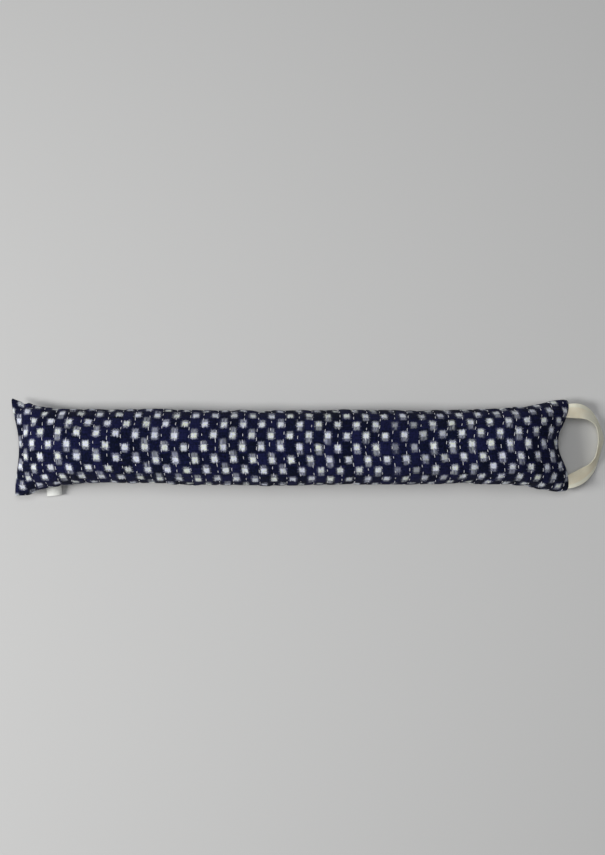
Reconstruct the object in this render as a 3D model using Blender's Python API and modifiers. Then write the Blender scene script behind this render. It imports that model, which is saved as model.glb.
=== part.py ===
"""Draught excluder: a stuffed tube of quilted cotton that lies along the foot of a door.

The cover is a flat rectangle of cloth sewn into a tube and closed flat at both ends, so each end runs out to two
pointed corners, or ears, and the end seam between them is drawn in and arched. A webbing loop sewn into the right
end carries it, and a small blank tab is caught in the long seam.

Metres. X runs along the tube, +Y is its back edge and Z is up. The origin is under the middle, on the floor.
"""

import math
from collections import namedtuple

import bmesh
import bpy
import numpy as np

# Stuffed tube
HALF_LENGTH = 0.450  # middle to an ear, seen from above
CLOTH_LENGTH = 0.912  # over the cloth, end seam to end seam
SIDE_HEIGHT = 0.046  # widest line of the tube above the floor
BASE_SINK = 0.003  # how far the round underside would pass the floor if the floor did not flatten it
BASE_FULLNESS = 2.1  # superellipse power of the underside, 2 is round
SEAM_THICKNESS = 0.004  # turned-in edge at each end
SEAM_HEIGHT = 0.046  # middle of an end seam above the floor
EAR_HEIGHT = 0.026  # an ear's tip above the floor
EAR_WIDTH = 0.077  # middle to an ear, across
CROWN_REACH = 0.120  # distance over which the upper side fills out from the end seam
BASE_REACH = 0.085  # the same for the underside
SIDE_REACH = 0.110  # the same for the widest line

# Outline from above, and height of the crown, at stations along the tube
Station = namedtuple("Station", "x back front crown")
STATIONS = [
    Station(-0.450, 0.0790, 0.0790, 0.100),
    Station(-0.436, 0.0742, 0.0764, 0.100),
    Station(-0.422, 0.0720, 0.0722, 0.100),
    Station(-0.409, 0.0682, 0.0688, 0.100),
    Station(-0.392, 0.0655, 0.0640, 0.099),
    Station(-0.372, 0.0630, 0.0603, 0.099),
    Station(-0.345, 0.0618, 0.0578, 0.100),
    Station(-0.288, 0.0610, 0.0567, 0.101),
    Station(-0.232, 0.0622, 0.0572, 0.099),
    Station(-0.160, 0.0608, 0.0597, 0.100),
    Station(-0.088, 0.0598, 0.0610, 0.098),
    Station(-0.032, 0.0590, 0.0620, 0.100),
    Station(0.040, 0.0598, 0.0602, 0.101),
    Station(0.112, 0.0607, 0.0596, 0.099),
    Station(0.168, 0.0597, 0.0599, 0.100),
    Station(0.230, 0.0596, 0.0586, 0.101),
    Station(0.285, 0.0609, 0.0579, 0.100),
    Station(0.344, 0.0637, 0.0597, 0.099),
    Station(0.380, 0.0665, 0.0625, 0.100),
    Station(0.408, 0.0713, 0.0676, 0.100),
    Station(0.426, 0.0746, 0.0706, 0.100),
    Station(0.441, 0.0770, 0.0724, 0.100),
    Station(0.450, 0.0770, 0.0712, 0.100),
]

# End seams: where the two ears lie along X, how far the part between them is drawn in, and where (shares of the half
# width), and how far each ear's tip is rounded off
EndSeam = namedtuple("EndSeam", "side back_ear front_ear hollow centre spread power back_round front_round")
LEFT_END = EndSeam(-1, -0.4500, -0.4435, 0.0128, 0.05, 1.0, 0.75, 0.0015, 0.0020)
RIGHT_END = EndSeam(1, 0.4500, 0.4500, 0.0195, 0.06, 0.9, 1.10, 0.0045, 0.0070)

# Hand quilting: rings of running stitch that pull the cloth in
QUILT_LINES = 42
QUILT_PITCH = 0.0216
QUILT_START = -0.4397  # first ring, over the cloth from the middle
QUILT_DEPTH = 0.0009

# Gathers along the end seams
GATHER_DEPTH = 0.0016
GATHER_WAVES = 11  # around the cloth
GATHER_REACH = 0.028

# Slow lumps of the filling: waves along, waves around, height and phase
Lump = namedtuple("Lump", "along around height phase")
LUMPS = [
    Lump(9, 1, 0.0010, 0.4),
    Lump(14, 2, 0.0008, 1.9),
    Lump(23, 3, 0.0006, 0.8),
]

# Main folds: centre over the cloth from the middle and up from the front edge, size, depth, and turn from along X
Fold = namedtuple("Fold", "along up length width depth turn")
FOLDS = [
    Fold(-0.428, 0.166, 0.026, 0.009, 0.0042, 18),
    Fold(-0.402, 0.148, 0.030, 0.010, 0.0026, 52),
    Fold(-0.372, 0.160, 0.022, 0.009, 0.0020, 70),
    Fold(-0.412, 0.020, 0.030, 0.010, 0.0026, -38),
    Fold(-0.376, 0.004, 0.020, 0.009, 0.0018, -75),
    Fold(0.428, 0.098, 0.030, 0.011, 0.0034, 8),
    Fold(0.424, 0.060, 0.030, 0.010, 0.0024, -32),
    Fold(0.398, 0.156, 0.026, 0.010, 0.0022, 118),
    Fold(0.392, 0.010, 0.024, 0.010, 0.0020, 62),
]

# Long seam of the cover, on the underside, this many mesh cells below the front edge
SEAM_CELLS = 2
SEAM_DEPTH = 0.0012

# Mesh of the tube
CELLS_PER_SIDE = 16  # from ear to ear, over the top or under the base
STEPS_PER_LINE = 3  # stations from one quilted line to the next
EDGE_STEPS = (0.003, 0.008)  # close stations just inside each end seam
DRAFT_STATIONS = 241
DRAFT_POINTS = 97

# Gaps between pieces that touch, each from the middle of the sheet's end
TAB_GAP = 0.0004
WEB_GAP = 0.0015  # more, because the webbing slopes away from the end seam

# Webbing loop, along its middle line: place, and how far it leans over from flat towards standing on its outer edge
WEB_WIDTH = 0.025
WEB_THICKNESS = 0.002
WEB_STEPS = 56
WebPoint = namedtuple("WebPoint", "x y z lean")
WEB_ROOTS = (0.0588, -0.0553)  # Y of the two ends of the strap in the end seam
WEB_LINE = [
    WebPoint(0.4615, 0.0588, 0.0318, 15),
    WebPoint(0.4697, 0.0581, 0.0285, 20),
    WebPoint(0.4806, 0.0546, 0.0232, 37),
    WebPoint(0.4897, 0.0486, 0.0180, 52),
    WebPoint(0.4978, 0.0400, 0.0140, 64),
    WebPoint(0.5025, 0.0297, 0.0128, 66),
    WebPoint(0.5058, 0.0144, 0.0119, 60),
    WebPoint(0.5037, -0.0009, 0.0124, 64),
    WebPoint(0.4988, -0.0185, 0.0127, 65),
    WebPoint(0.4906, -0.0328, 0.0138, 49),
    WebPoint(0.4793, -0.0424, 0.0180, 28),
    WebPoint(0.4710, -0.0475, 0.0232, 16),
    WebPoint(0.4607, -0.0520, 0.0296, 15),
]

# Tab in the long seam
TAB_WIDTH = 0.0243
TAB_X = -0.3833
TAB_THICKNESS = 0.001
TAB_TURN = 5.0  # degrees that its free edge is askew
TAB_CELLS = 4
TabRow = namedtuple("TabRow", "out z")  # distance in front of the X axis, and height
TAB_ROWS = [
    TabRow(0.0632, 0.0120),
    TabRow(0.0712, 0.0042),
    TabRow(0.0788, 0.0007),
]

MATERIALS = {
    "ikat_cotton": ((0.022, 0.024, 0.075), 0.88),
    "cream_webbing": ((0.620, 0.570, 0.430), 0.85),
    "white_tab": ((0.720, 0.730, 0.700), 0.70),
}


def ease(value):
    """Runs from 0 to 1 with level ends."""
    value = np.clip(value, 0.0, 1.0)
    return value * value * (3.0 - 2.0 * value)


def swell(distance, reach):
    """How far stuffed cloth has filled out at a distance from its flat seam: steep at first, then level."""
    share = np.clip(distance / reach, 0.0, 1.0)
    return (1.0 - (1.0 - share) ** 2.2) ** 0.7


def smooth_curve(at, places, values):
    """A smooth curve through values at places, read at the given points (cubic, with averaged slopes)."""
    places = np.asarray(places, float)
    values = np.asarray(values, float)
    slopes = np.gradient(values, places)
    index = np.clip(np.searchsorted(places, at) - 1, 0, len(places) - 2)
    span = places[index + 1] - places[index]
    share = (at - places[index]) / span
    rise = share * share * (3.0 - 2.0 * share)
    leaving = share * (1.0 - share) ** 2 * span * slopes[index]
    arriving = share * share * (share - 1.0) * span * slopes[index + 1]
    return values[index] * (1.0 - rise) + values[index + 1] * rise + leaving + arriving


def even_out(points, shares):
    """Points on a line of points at the given shares of its length."""
    lengths = np.linalg.norm(np.diff(points, axis=0), axis=1)
    travelled = np.concatenate([[0.0], np.cumsum(lengths)])
    travelled /= travelled[-1]
    return np.stack([np.interp(shares, travelled, points[:, axis]) for axis in range(3)], axis=1)


def station_value(x, column):
    """One column of the outline table at x."""
    places = [station.x for station in STATIONS]
    values = [getattr(station, column) for station in STATIONS]
    return smooth_curve(x, places, values)


def end_shift(end, across):
    """How far the end seam lies from the plane of the ears, at a share across from front (-1) to back (1)."""
    ear = (end.back_ear + end.front_ear) / 2.0 + (end.back_ear - end.front_ear) / 2.0 * across
    near = np.clip(np.abs(across - end.centre * (1.0 - across**2)) / end.spread, 0.0, 1.0)
    drawn_in = (0.5 * (1.0 + np.cos(math.pi * near))) ** end.power
    rounding = np.where(across > 0.0, end.back_round, end.front_round)
    into_corner = np.clip((np.abs(across) * EAR_WIDTH - (EAR_WIDTH - rounding)) / rounding, 0.0, 1.0)
    rounded_off = rounding * (1.0 - np.sqrt(1.0 - into_corner**2))
    return ear - end.side * (HALF_LENGTH + end.hollow * drawn_in + rounded_off)


def section(x):
    """The upper and the lower line of the cloth at a station, each from the back edge to the front edge."""
    distance = HALF_LENGTH - abs(x)
    back = station_value(x, "back")
    front = station_value(x, "front")
    middle = (back - front) / 2.0
    half_width = (back + front) / 2.0
    crown = SEAM_HEIGHT + (station_value(x, "crown") - SEAM_HEIGHT) * swell(distance, CROWN_REACH)
    base = SEAM_HEIGHT - (SEAM_HEIGHT + BASE_SINK) * swell(distance, BASE_REACH)
    side = EAR_HEIGHT + (SIDE_HEIGHT - EAR_HEIGHT) * ease(distance / SIDE_REACH)
    flatness = 2.0 - swell(distance, CROWN_REACH)
    fullness = 2.0 + (BASE_FULLNESS - 2.0) * ease(distance / BASE_REACH)
    angle = np.linspace(0.0, math.pi, DRAFT_POINTS)
    lines = []
    for height, power, edge in ((crown, 2.0, 0.5), (base, fullness, -0.5)):
        across = np.sign(np.cos(angle)) * np.abs(np.cos(angle)) ** (2.0 / power)
        bulge = np.abs(np.sin(angle)) ** (2.0 / power * flatness)
        z = side + (height - side) * bulge + edge * SEAM_THICKNESS * (1.0 - across**8)
        share_along = (x + HALF_LENGTH) / (2.0 * HALF_LENGTH)
        shift = end_shift(LEFT_END, across) * (1.0 - share_along) + end_shift(RIGHT_END, across) * share_along
        lines.append(np.stack([x + shift, middle + half_width * across, np.maximum(z, 0.0)], axis=1))
    return lines


def cloth_stations():
    """Places along the cloth for the rings of mesh points, counted from the middle."""
    count = (QUILT_LINES - 1) * STEPS_PER_LINE + 1
    rings = [QUILT_START + QUILT_PITCH * step / STEPS_PER_LINE for step in range(count)]
    end = CLOTH_LENGTH / 2.0
    left = [-end] + [-end + step for step in EDGE_STEPS]
    right = [end - step for step in reversed(EDGE_STEPS)] + [end]
    return np.array(left + rings + right)


def smooth_tube(along):
    """The stuffed form before its relief, as rings of points: front edge, over the top, back edge, and under."""
    around = np.linspace(0.0, 1.0, CELLS_PER_SIDE + 1)
    rings = []
    for x in HALF_LENGTH * np.sin(np.linspace(-math.pi / 2.0, math.pi / 2.0, DRAFT_STATIONS)):
        upper, lower = section(x)
        over = even_out(upper[::-1], around)
        under = even_out(lower, around)
        rings.append(np.concatenate([over, under[1:-1]]))
    rings = np.array(rings)
    shares = along / CLOTH_LENGTH + 0.5
    return np.stack([even_out(rings[:, j], shares) for j in range(rings.shape[1])], axis=1)


def outward(grid):
    """Unit normals of a grid of rings."""
    along = np.gradient(grid, axis=0)
    around = np.roll(grid, -1, axis=1) - np.roll(grid, 1, axis=1)
    normal = np.cross(along, around)
    return normal / np.maximum(np.linalg.norm(normal, axis=2, keepdims=True), 1e-9)


def quilting(along):
    """Dips at the stitched lines, one for each ring of points."""
    place = (along - QUILT_START) / QUILT_PITCH
    on_line = np.abs(place - np.round(place)) < 0.5 / STEPS_PER_LINE
    stitched = on_line & (np.round(place) >= 0.0) & (np.round(place) < QUILT_LINES)
    return np.where(stitched, -QUILT_DEPTH, QUILT_DEPTH * 0.2)


def relief(along, cloth_round):
    """Height of the cloth over the smooth form, at every ring and every point round it."""
    count = 2 * CELLS_PER_SIDE
    around = np.arange(count) / count
    from_seam = CLOTH_LENGTH / 2.0 - np.abs(along)[:, None]
    turn = 2.0 * math.pi * around[None, :]
    height = np.repeat(quilting(along)[:, None], count, axis=1)
    gathers = np.cos(GATHER_WAVES * turn + np.where(along < 0.0, 0.6, 2.1)[:, None])
    height = height + GATHER_DEPTH * gathers * np.exp(-from_seam / GATHER_REACH)
    for lump in LUMPS:
        wave = 2.0 * math.pi * lump.along * along[:, None] / CLOTH_LENGTH + lump.phase
        height = height + lump.height * np.sin(wave) * np.cos(lump.around * turn + lump.phase)
    up = around * cloth_round
    up = np.where(up > 0.75 * cloth_round, up - cloth_round, up)
    for fold in FOLDS:
        angle = math.radians(fold.turn)
        step_along = along[:, None] - fold.along
        step_up = up[None, :] - fold.up
        lengthwise = step_along * math.cos(angle) + step_up * math.sin(angle)
        crosswise = step_up * math.cos(angle) - step_along * math.sin(angle)
        height = height - fold.depth * np.exp(-((lengthwise / fold.length) ** 2) - (crosswise / fold.width) ** 2)
    height[:, count - SEAM_CELLS] -= SEAM_DEPTH
    return height * ease(from_seam / (2.0 * EDGE_STEPS[-1]))


def tube_grid():
    """Rings of points of the finished tube."""
    along = cloth_stations()
    smooth = smooth_tube(along)
    middle_ring = smooth[len(along) // 2]
    cloth_round = np.linalg.norm(np.roll(middle_ring, -1, axis=0) - middle_ring, axis=1).sum()
    resting = smooth[:, :, 2] < 0.0002
    height = np.where(resting, 0.0, relief(along, cloth_round))
    grid = smooth + outward(smooth) * height[:, :, None]
    grid[:, :, 2] = np.maximum(grid[:, :, 2], 0.0)
    return grid


def object_from(name, mesh_builder, material, collection):
    """An object from a bmesh, in its collection and with its material."""
    mesh = bpy.data.meshes.new(name)
    mesh_builder.to_mesh(mesh)
    mesh_builder.free()
    mesh.materials.append(material)
    mesh.shade_smooth()
    piece = bpy.data.objects.new(name, mesh)
    collection.objects.link(piece)
    return piece


def make_material(name):
    colour, roughness = MATERIALS[name]
    material = bpy.data.materials.new(name)
    material.use_nodes = True
    shader = material.node_tree.nodes["Principled BSDF"]
    shader.inputs["Base Color"].default_value = (*colour, 1.0)
    shader.inputs["Roughness"].default_value = roughness
    shader.inputs["Metallic"].default_value = 0.0
    return material


def make_tube(grid, collection):
    """Stuffed tube: a loft from the flat left seam through the round body to the flat right seam."""
    build = bmesh.new()
    rings = [[build.verts.new(point) for point in ring] for ring in grid]
    count = len(rings[0])
    for ring, following in zip(rings, rings[1:]):
        for j in range(count):
            k = (j + 1) % count
            build.faces.new((ring[j], following[j], following[k], ring[k]))
    for ring in (rings[0], rings[-1]):
        for j in range(CELLS_PER_SIDE):
            corners = [ring[j], ring[j + 1], ring[count - j - 1], ring[-j]]
            build.faces.new(dict.fromkeys(corners))
    bmesh.ops.recalc_face_normals(build, faces=build.faces)
    return object_from("stuffed_tube", build, make_material("ikat_cotton"), collection)


def sheet_from(name, rows, thickness, material, collection):
    """A thin sheet through rows of points, thickened evenly to both sides."""
    build = bmesh.new()
    verts = [[build.verts.new(point) for point in row] for row in rows]
    for row, following in zip(verts, verts[1:]):
        for j in range(len(row) - 1):
            build.faces.new((row[j], row[j + 1], following[j + 1], following[j]))
    bmesh.ops.recalc_face_normals(build, faces=build.faces)
    piece = object_from(name, build, material, collection)
    solidify = piece.modifiers.new("Thickness", "SOLIDIFY")
    solidify.thickness = thickness
    solidify.offset = 0.0
    solidify.use_even_offset = True
    return piece


def seam_place(grid, y):
    """The point of the right end seam at a given Y, midway between its upper and lower edge."""
    ring = grid[-1]
    upper = ring[: CELLS_PER_SIDE + 1]
    lower = np.concatenate([ring[:1], ring[:CELLS_PER_SIDE - 1:-1]])
    middle = (upper + lower) / 2.0
    return np.array([np.interp(y, middle[:, 1], middle[:, axis]) for axis in range(3)])


def make_handle(grid, collection):
    """Webbing loop: a flat strap that turns on its edge as it goes round, its ends butted on the end seam."""
    half = WEB_WIDTH / 2.0
    roots = []
    for y in WEB_ROOTS:
        slope = seam_place(grid, y + half * 0.9) - seam_place(grid, y - half * 0.9)
        lean = math.degrees(math.atan2(abs(slope[2]), abs(slope[1])))
        place = seam_place(grid, y)
        roots.append(WebPoint(place[0], place[1], place[2], lean))
    line = [roots[0], *WEB_LINE, roots[1]]
    places = np.arange(len(line))
    steps = np.linspace(0.0, len(line) - 1.0, WEB_STEPS + 1)
    x, y, z, lean = (smooth_curve(steps, places, [getattr(p, c) for p in line]) for c in WebPoint._fields)
    centre = np.stack([x, y, z], axis=1)
    run = np.gradient(centre, axis=0)
    out = np.stack([-run[:, 1], run[:, 0], np.zeros(len(x))], axis=1)
    out /= np.linalg.norm(out, axis=1, keepdims=True)
    lean = np.radians(lean)[:, None]
    width = out * np.cos(lean) - np.array([0.0, 0.0, 1.0]) * np.sin(lean)
    rows = np.stack([centre + width * side * half for side in (-1.0, -0.33, 0.33, 1.0)], axis=1)
    for end in (0, -1):
        for j in range(rows.shape[1]):
            place = seam_place(grid, rows[end, j, 1])
            rows[end, j] = place + np.array([WEB_GAP, 0.0, 0.0])
    return sheet_from("webbing_handle", rows, WEB_THICKNESS, make_material("cream_webbing"), collection)


def make_tab(grid, collection):
    """Blank tab: starts at the long seam, under the front of the tube, and drops on to the floor."""
    seam = grid[:, 2 * CELLS_PER_SIDE - SEAM_CELLS]
    normal = outward(grid)[:, 2 * CELLS_PER_SIDE - SEAM_CELLS]
    across = np.linspace(TAB_X - TAB_WIDTH / 2.0, TAB_X + TAB_WIDTH / 2.0, TAB_CELLS + 1)
    lift = TAB_GAP + TAB_THICKNESS / 2.0
    root = [[np.interp(x, seam[:, 0], (seam + normal * lift)[:, axis]) for axis in range(3)] for x in across]
    rows = [root]
    for row in TAB_ROWS:
        askew = math.tan(math.radians(TAB_TURN)) * (across - TAB_X)
        rows.append([(x, -row.out + shift, row.z) for x, shift in zip(across, askew)])
    return sheet_from("side_tab", rows, TAB_THICKNESS, make_material("white_tab"), collection)


def main():
    for leftover in list(bpy.data.objects):
        bpy.data.objects.remove(leftover)
    collection = bpy.data.collections.new("draught_excluder")
    bpy.context.scene.collection.children.link(collection)
    grid = tube_grid()
    make_tube(grid, collection)
    make_handle(grid, collection)
    make_tab(grid, collection)


main()
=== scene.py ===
"""Draught excluder: the looks of a stuffed tube of hand-quilted ikat cotton with a webbing loop and a blank tab.

Metres. X runs along the tube, +Y is its back edge and Z is up. The origin is under the middle, on the floor.
Cloth places are given as (along, around): along the tube from end seam to end seam, and once around it from the
front edge over the top, both from 0 to 1 in the cover's UV map.
"""

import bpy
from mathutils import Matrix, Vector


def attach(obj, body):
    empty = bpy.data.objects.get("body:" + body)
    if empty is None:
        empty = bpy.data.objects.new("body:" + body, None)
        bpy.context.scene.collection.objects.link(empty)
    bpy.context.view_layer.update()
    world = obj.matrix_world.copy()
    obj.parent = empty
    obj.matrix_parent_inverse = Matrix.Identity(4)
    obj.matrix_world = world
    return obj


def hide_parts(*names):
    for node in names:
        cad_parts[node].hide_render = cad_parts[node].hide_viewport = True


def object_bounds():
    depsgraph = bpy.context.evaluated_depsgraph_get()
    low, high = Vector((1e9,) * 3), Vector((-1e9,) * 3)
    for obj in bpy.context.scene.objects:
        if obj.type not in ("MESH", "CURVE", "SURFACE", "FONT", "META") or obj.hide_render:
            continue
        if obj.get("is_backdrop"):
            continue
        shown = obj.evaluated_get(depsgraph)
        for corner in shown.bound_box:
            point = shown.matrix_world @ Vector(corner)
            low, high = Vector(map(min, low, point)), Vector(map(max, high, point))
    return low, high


bl_info = {
    "name": "Draught Excluder",
    "version": (1, 0, 0),
    "blender": (4, 5, 0),
    "location": "3D View > Sidebar > Draught Excluder",
    "description": "Makes a stuffed and quilted cotton draught excluder with a webbing loop",
    "category": "Add Mesh",
}

import math
from collections import namedtuple

import bpy
import numpy as np
from bpy.props import FloatProperty, FloatVectorProperty, IntProperty, PointerProperty
from mathutils import Vector

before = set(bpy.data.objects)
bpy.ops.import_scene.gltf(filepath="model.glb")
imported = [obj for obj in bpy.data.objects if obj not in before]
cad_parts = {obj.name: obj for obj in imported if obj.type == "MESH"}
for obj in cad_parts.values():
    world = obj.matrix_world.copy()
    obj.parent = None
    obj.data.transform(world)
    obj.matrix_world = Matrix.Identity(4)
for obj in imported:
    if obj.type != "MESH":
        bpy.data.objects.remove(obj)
CAD_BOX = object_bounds()

# Outline from above, and height of the crown, at stations along the tube
Station = namedtuple("Station", "x back front crown")
STATIONS = [Station(*row) for row in (
    (-0.450, 0.0790, 0.0790, 0.100), (-0.436, 0.0742, 0.0764, 0.100), (-0.422, 0.0720, 0.0722, 0.100),
    (-0.409, 0.0682, 0.0688, 0.100), (-0.392, 0.0655, 0.0640, 0.099), (-0.372, 0.0630, 0.0603, 0.099),
    (-0.345, 0.0618, 0.0578, 0.100), (-0.288, 0.0610, 0.0567, 0.101), (-0.232, 0.0622, 0.0572, 0.099),
    (-0.160, 0.0608, 0.0597, 0.100), (-0.088, 0.0598, 0.0610, 0.098), (-0.032, 0.0590, 0.0620, 0.100),
    (0.040, 0.0598, 0.0602, 0.101), (0.112, 0.0607, 0.0596, 0.099), (0.168, 0.0597, 0.0599, 0.100),
    (0.230, 0.0596, 0.0586, 0.101), (0.285, 0.0609, 0.0579, 0.100), (0.344, 0.0637, 0.0597, 0.099),
    (0.380, 0.0665, 0.0625, 0.100), (0.408, 0.0713, 0.0676, 0.100), (0.426, 0.0746, 0.0706, 0.100),
    (0.441, 0.0770, 0.0724, 0.100), (0.450, 0.0770, 0.0712, 0.100),
)]

# End seams: where the two ears lie along X, how far the part between them is drawn in, and where (shares of the half
# width), and how far each ear's tip is rounded off
EndSeam = namedtuple("EndSeam", "side back_ear front_ear hollow centre spread power back_round front_round")
LEFT_END = EndSeam(-1, -0.4500, -0.4435, 0.0128, 0.05, 1.0, 0.75, 0.0015, 0.0020)
RIGHT_END = EndSeam(1, 0.4500, 0.4500, 0.0195, 0.06, 0.9, 1.10, 0.0045, 0.0070)

HALF_LENGTH = 0.450
SIDE_HEIGHT = 0.046
BASE_SINK = 0.003
BASE_FULLNESS = 2.1
SEAM_THICKNESS = 0.0036
SEAM_HEIGHT = 0.046
EAR_HEIGHT = 0.026
EAR_WIDTH = 0.077
CROWN_REACH = 0.120
BASE_REACH = 0.085
SIDE_REACH = 0.110
LONG_SEAM = 0.9375  # place of the long seam around the cloth
END_BULGE = 0.15  # how far an end seam stands out between its edges, as a share of its thickness

# Main folds: centre over the cloth from the middle and up from the front edge, size, depth, and turn from along X
Fold = namedtuple("Fold", "along up length width depth turn")
FOLDS = [Fold(*row) for row in (
    (-0.428, 0.166, 0.026, 0.007, 0.0042, 18), (-0.402, 0.148, 0.030, 0.007, 0.0024, 52),
    (-0.372, 0.160, 0.022, 0.007, 0.0018, 70), (-0.412, 0.020, 0.030, 0.007, 0.0024, -38),
    (-0.376, 0.004, 0.020, 0.007, 0.0016, -75), (-0.434, 0.178, 0.0045, 0.016, 0.0034, 0),
    (-0.384, 0.002, 0.016, 0.014, -0.0022, 0), (-0.434, 0.000, 0.012, 0.010, -0.0026, 0),
    (0.428, 0.098, 0.030, 0.008, 0.0030, 8), (0.424, 0.060, 0.030, 0.008, 0.0024, -32),
    (0.398, 0.156, 0.026, 0.008, 0.0020, 118), (0.392, 0.010, 0.024, 0.008, 0.0018, 62),
)]

# Fine relief: pulls beside a ring of stitches, uneven cloth, gathers at the end seams, and the long seam
Pull = namedtuple("Pull", "reach share")
PULLS = [Pull(0.0026, 1.0), Pull(0.0075, 0.45)]
PULL_MEAN = 0.80
PULL_SWING = 0.20  # more between stitches, less under one
Unevenness = namedtuple("Unevenness", "cell height")
UNEVENNESS = [Unevenness(0.011, 0.0005), Unevenness(0.024, 0.0006), Unevenness(0.006, 0.00022)]
UNEVEN_SEED = 11
Gather = namedtuple("Gather", "count share start right")
GATHERS = [Gather(13, 1.0, 0.6, 2.4), Gather(21, 0.6, 1.9, -1.1)]
GATHER_DEPTH = 0.0008
GATHER_REACH = 0.020
LONG_SEAM_DEPTH = 0.0016
LONG_SEAM_REACH = 0.0022
THIN_ROUND = 0.020  # reach of the thin part at an ear, where relief would push both sides into each other
THIN_ALONG = 0.040
THIN_SHARE = 0.92

# How far from an end seam the folds, the wrinkles and the fine relief reach their full size, and how far off the floor
FOLD_FADE = 0.016
WRINKLE_FADE = 0.012
RELIEF_FADE = 0.010
FLOOR_FADE = 0.004

# Hand-sewn rings: how far each ring's stitches are shifted from the last one's, and how its straying changes
STITCH_SHIFT = 0.618
SLOW_STRAY = 2.4
QUICK_STRAY = 1.3
STITCH_SEED = 3
STITCH_PLACE = 0.14  # most that a stitch lies off its even place, as a share of a stitch
STITCH_SLANT = 0.10
SHORTEST = 0.72
LONGEST = 1.18
STITCH_AHEAD = 0.006  # how far around the cover the way of a stitch is read
STITCH_LIFT = 0.00005
STITCH_LOWEST = 0.0010
THREAD_DOWN = -0.65  # places of a stitch's ends and of its bow, in thicknesses of thread off the cloth
THREAD_UP = 1.15

# Heights under which the cover counts as lying on the floor, while it settles and when it is folded
HELD_BELOW = 0.0004
RESTING_BELOW = 0.0002
WRINKLE_LIMIT = 0.006
DRIFT_RADIUS = 6.0  # in points of the grid: what moves as widely as this is no wrinkle

# Cloth of the cover while its filling blows it up
CLOTH = {
    "quality": 5, "mass": 0.02, "air_damping": 5.0, "tension_stiffness": 40.0, "compression_stiffness": 40.0,
    "shear_stiffness": 10.0, "bending_stiffness": 0.3, "tension_damping": 20.0, "compression_damping": 20.0,
}

# Webbing loop, along its middle line: place, and how far it leans over from flat towards standing on its outer edge
WebPoint = namedtuple("WebPoint", "x y z lean")
WEB_LINE = [WebPoint(*row) for row in (
    (0.4415, 0.0582, 0.0340, 36), (0.4500, 0.0588, 0.0346, 26), (0.4615, 0.0588, 0.0318, 15),
    (0.4697, 0.0581, 0.0285, 20), (0.4806, 0.0546, 0.0232, 37), (0.4897, 0.0486, 0.0180, 52),
    (0.4978, 0.0400, 0.0140, 64), (0.5025, 0.0297, 0.0128, 66), (0.5058, 0.0144, 0.0119, 60),
    (0.5037, -0.0009, 0.0124, 64), (0.4988, -0.0185, 0.0127, 65), (0.4906, -0.0328, 0.0138, 49),
    (0.4793, -0.0424, 0.0180, 28), (0.4710, -0.0475, 0.0232, 16), (0.4607, -0.0520, 0.0296, 15),
    (0.4500, -0.0553, 0.0344, 27), (0.4415, -0.0566, 0.0336, 37),
)]
WEB_PROFILE = [  # place across the webbing, and how thick it is there, as shares
    (-1.0, 0.45), (-0.97, 0.85), (-0.9, 1.0), (-0.86, 0.90), (-0.5, 0.95), (0.0, 1.0),
    (0.5, 0.95), (0.86, 0.90), (0.9, 1.0), (0.97, 0.85), (1.0, 0.45),
]
WEB_STEPS = 181
WEB_CHART = 0.2  # length of strap that runs from 0 to 1 in its UV map
WEB_MIDDLE = 0.36  # middle of the strap in its UV map
WEB_WARMTH = (0.97, 0.90, 0.82)

# Upper side of the tab, in its own plane: distance in front of the X axis, and height
TabRow = namedtuple("TabRow", "out z")
TAB_TOP = [TabRow(*row) for row in (
    (0.0545, 0.0200), (0.0590, 0.0176), (0.0640, 0.0146), (0.0700, 0.0112), (0.0745, 0.0092), (0.0786, 0.0080),
)]
TAB_STEPS = 22
TAB_GAP = 0.00095  # from its upper layer down to its lower one
TAB_FOLD = 0.00048  # how far the fold stands out
TAB_FOLD_STEPS = 7
TAB_HALF_THICKNESS = 0.00019
TAB_CHART = 0.052  # length of tape that runs from 0 to 1 in its UV map
TAB_TURN = 5.0  # degrees that the free end lies askew
TAB_TURN_FROM = 0.058
TAB_TURN_OVER = 0.01
TAB_LOWEST = 0.0001

# The pattern is worked out in millimetres over the cloth: u from the left end seam, v from the long seam
MM = 1000.0
PATTERN_MIDDLE = 456.0
PATTERN_ROUND = 360.0  # from the long seam once around to it
PATTERN_CROWN = 112.5  # place of the top
PATTERN_RADIUS = 57.0

# How the columns bow, lean and open out over the tube: at its middle, and what is added towards its right end
Change = namedtuple("Change", "middle added")
COLUMN_BOW = Change(3.0, 11.2)
COLUMN_LEAN = Change(0.8, 0.9)
COLUMN_STRETCH = Change(0.9, -2.3)
LEFT_PULL = Change(-9.275, 0.0265)

# Slow drift of the pattern's rows over the cloth
Wave = namedtuple("Wave", "length size start")
ROW_WAVES = [Wave(912.0, -2.98, 1.94), Wave(456.0, -1.66, 1.93), Wave(304.0, -1.20, -0.33)]

# Where the blocks start to fade one way only, and where that way turns round
EITHER_WAY_UNTIL = 200.0
FADE_TURNS_AT = 468.0

COLUMN_SLIP = 1.6  # range over which a column's rows are shifted at random, and then each block's
BLOCK_SLIP = 1.2
WHISKER_REACH = 5.5  # of single threads beside a block
HAIR_PLACE = 4.4  # from the middle of a block to the single threads that run on past it

# Columns whose undyed blocks took some dye, counted from the middle, and the share they took
DullColumn = namedtuple("DullColumn", "column share")
DULL_COLUMNS = [DullColumn(10, 0.80), DullColumn(12, 0.50), DullColumn(13, 0.35), DullColumn(15, 0.30)]

FRINGE_COLOUR = (0.24, 0.25, 0.40)
WORN_COLOUR = (0.20, 0.21, 0.34)

# Mesh of the cover
CLOTH_STEP = 0.004
FINER = 2
DRAFT_STATIONS = 241
DRAFT_POINTS = 97

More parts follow.
